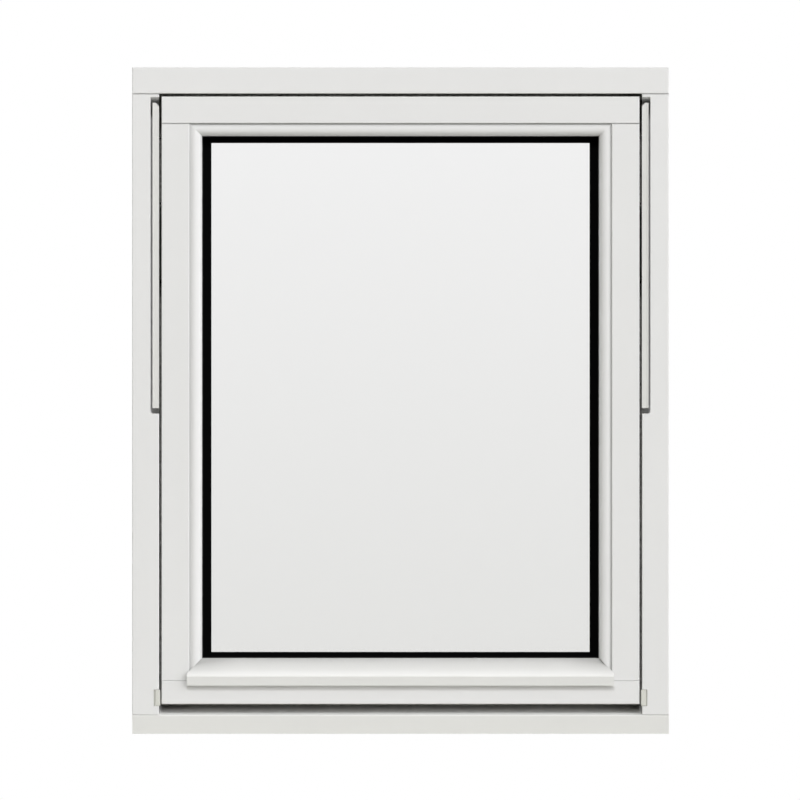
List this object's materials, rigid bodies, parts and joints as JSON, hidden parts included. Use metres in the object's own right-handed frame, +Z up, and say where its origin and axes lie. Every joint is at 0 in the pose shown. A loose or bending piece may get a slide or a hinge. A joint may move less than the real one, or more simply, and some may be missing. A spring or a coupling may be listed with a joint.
{
  "type": "top swing window",
  "caption": "White painted timber window with a frame, a flush sash, moulded glazing beads, a drip bead, double glazing and swing hinge tracks in the jambs.",
  "frame": {"origin": "middle of the sill's underside, half way through the frame's depth", "axes": "+X to the right seen from outside, +Y inwards from the weather side, +Z up"},
  "size_m": [0.805, 0.1205, 1],
  "materials": {
    "painted_timber": "satin white paint on timber",
    "coated_bead": "satin white coating",
    "clear_glass": "clear",
    "black_spacer": "matt black",
    "black_gasket": "matt black",
    "grey_seal": "matt light grey",
    "block_plastic": "moulded",
    "track_aluminium": "light powder coating on extrusion",
    "arm_steel": "black zinc",
    "guide_plastic": "moulded",
    "handle_metal": "satin"
  },
  "bodies": {
    "root": {"frame_head": "painted_timber", "frame_sill": "painted_timber", "frame_jamb_left": "painted_timber", "frame_jamb_right": "painted_timber", "sash_top_rail": "painted_timber", "sash_bottom_rail": "painted_timber", "sash_stile_left": "painted_timber", "sash_stile_right": "painted_timber", "glazing_bead_top": "painted_timber", "glazing_bead_left": "painted_timber", "glazing_bead_right": "painted_timber", "glazing_bead_bottom": "coated_bead", "glass_outer_pane": "clear_glass", "glass_inner_pane": "clear_glass", "glass_spacer": "black_spacer", "glazing_gasket_outer": "black_gasket", "glazing_gasket_inner": "black_gasket", "weather_seal": "grey_seal", "setting_blocks": "block_plastic", "hinge_shoe_left": "block_plastic", "hinge_shoe_right": "block_plastic", "hinge_track_left": "track_aluminium", "hinge_track_right": "track_aluminium", "hinge_arm_left": "arm_steel", "hinge_arm_right": "arm_steel", "guide_block_left": "guide_plastic", "guide_block_right": "guide_plastic", "handle_rose": "handle_metal", "handle_lever": "handle_metal"}
  },
  "joints": []
}
